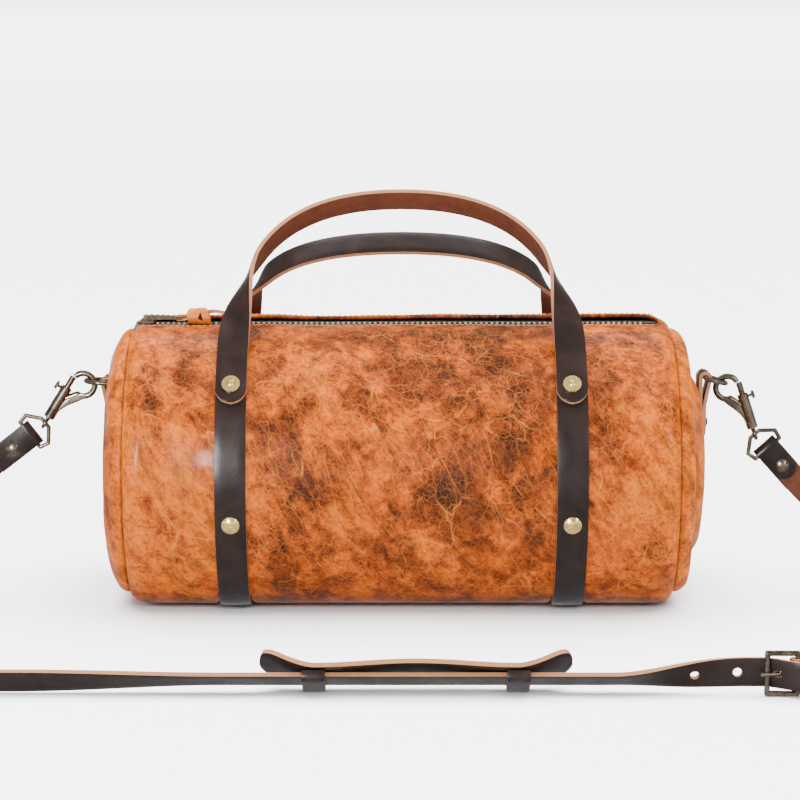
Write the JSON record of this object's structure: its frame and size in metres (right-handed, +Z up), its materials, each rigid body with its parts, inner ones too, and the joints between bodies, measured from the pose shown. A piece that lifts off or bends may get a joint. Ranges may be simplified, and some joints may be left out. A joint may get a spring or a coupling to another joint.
{
  "type": "crossbody bag",
  "caption": "Barrel-shaped leather bag with a zipped top, arched hand straps and a buckled shoulder strap on swivelling snap hooks.",
  "frame": {"origin": "centre of the bag's resting face, on the floor", "axes": "+X along the barrel to the bag's left side as worn (the viewer's right), -Y the front, +Z up"},
  "size_m": [0.6382, 0.3561, 0.251],
  "materials": {
    "bag_leather": "oiled pull-up leather, marbled, half gloss",
    "strap_leather": "dark pull-up leather with bare cut edges",
    "handle_leather": "dark brown pull-up leather with bare cut edges",
    "lace": "soft lace leather",
    "zip_tape": "woven black tape",
    "zip_metal": "aged brass",
    "rivet_brass": "polished brass, a little worn",
    "hardware": "antiqued nickel",
    "spring": "drawn wire"
  },
  "bodies": {
    "bag": {"body_panel": "bag_leather", "end_panel_left": "bag_leather", "end_panel_right": "bag_leather", "zip_tape_front": "zip_tape", "zip_tape_rear": "zip_tape", "zip_teeth_front": "zip_metal", "zip_teeth_rear": "zip_metal", "zip_stops": "zip_metal", "band_left": "handle_leather", "band_right": "handle_leather", "band_rivets": "rivet_brass", "handle_front_ends": "handle_leather", "handle_rear_ends": "handle_leather", "handle_rivets": "rivet_brass", "handle_rivet_burrs": "rivet_brass", "end_tab_left": "strap_leather", "end_tab_right": "strap_leather", "end_tab_rivets": "rivet_brass", "strap_lead_left": "strap_leather", "strap_lead_right": "strap_leather", "strap_front": "strap_leather", "buckle_frame": "hardware", "buckle_fold": "strap_leather", "strap_keeper": "strap_leather"},
    "front_handle": {"handle_front": "handle_leather"},
    "rear_handle": {"handle_rear": "handle_leather"},
    "slider": {"zip_slider": "zip_metal"},
    "pull": {"zip_pull": "zip_metal", "zip_pull_lace": "lace"},
    "hang_left": {"d_ring_left": "hardware", "swivel_eye_left": "hardware", "hex_ring_left": "hardware", "strap_end_left": "strap_leather", "strap_end_rivets_left": "hardware"},
    "hang_right": {"d_ring_right": "hardware", "swivel_eye_right": "hardware", "hex_ring_right": "hardware", "strap_end_right": "strap_leather", "strap_end_rivets_right": "hardware"},
    "snap_left": {"hook_left": "hardware", "hook_spring_left": "spring"},
    "snap_right": {"hook_right": "hardware", "hook_spring_right": "spring"},
    "bolt_left": {"hook_bolt_left": "hardware"},
    "bolt_right": {"hook_bolt_right": "hardware"},
    "prong": {"buckle_prong": "hardware"},
    "pad": {"shoulder_pad": "strap_leather"}
  },
  "joints": [
    {"name": "front_handle_fold", "type": "hinge", "parent": "bag", "child": "front_handle", "pos_m": [0, -0.06812, 0.15168], "axis": [1, 0, 0], "range_deg": [0, 150]},
    {"name": "rear_handle_fold", "type": "hinge", "parent": "bag", "child": "rear_handle", "pos_m": [0, 0.06812, 0.15168], "axis": [-1, 0, 0], "range_deg": [0, 150]},
    {"name": "zip_slide", "type": "slide", "parent": "bag", "child": "slider", "axis": [1, 0, 0], "range_m": [0, 0.303], "deforming": ["zip_teeth_front", "zip_teeth_rear", "zip_tape_front", "zip_tape_rear"]},
    {"name": "pull_swing", "type": "hinge", "parent": "slider", "child": "pull", "pos_m": [-0.15465, -0.00968, 0.17259], "axis": [0, -0.9945, -0.1045], "range_deg": [0, 170]},
    {"name": "ring_swing_left", "type": "hinge", "parent": "bag", "child": "hang_left", "pos_m": [-0.18075, 0, 0.132], "axis": [0, 1, 0], "range_deg": [-5, 35], "deforming": ["strap_lead_left"]},
    {"name": "ring_swing_right", "type": "hinge", "parent": "bag", "child": "hang_right", "pos_m": [0.18675, 0, 0.135], "axis": [0, -1, 0], "range_deg": [-5, 35], "deforming": ["strap_lead_right"]},
    {"name": "swivel_left", "type": "hinge", "parent": "hang_left", "child": "snap_left", "pos_m": [-0.21811, 0, 0.10984], "axis": [0.5299, 0, 0.848], "range_deg": [-14, 14]},
    {"name": "swivel_right", "type": "hinge", "parent": "hang_right", "child": "snap_right", "pos_m": [0.21736, 0, 0.10328], "axis": [-0.309, 0, 0.9511], "range_deg": [-14, 14]},
    {"name": "bolt_slide_left", "type": "slide", "parent": "snap_left", "child": "bolt_left", "axis": [-0.5299, 0, -0.848], "range_m": [0, 0.0055], "stiffness_N_per_m": 300, "springref_m": -0.004, "deforming": ["hook_spring_left"]},
    {"name": "bolt_slide_right", "type": "slide", "parent": "snap_right", "child": "bolt_right", "axis": [0.309, 0, -0.9511], "range_m": [0, 0.0055], "stiffness_N_per_m": 300, "springref_m": -0.004, "deforming": ["hook_spring_right"]},
    {"name": "prong_swing", "type": "hinge", "parent": "bag", "child": "prong", "pos_m": [0.2065, -0.253, 0.01225], "axis": [0, 0, 1], "range_deg": [0, 4]},
    {"name": "pad_slide", "type": "slide", "parent": "bag", "child": "pad", "axis": [1, 0, 0], "range_m": [-0.012, 0.012]}
  ]
}
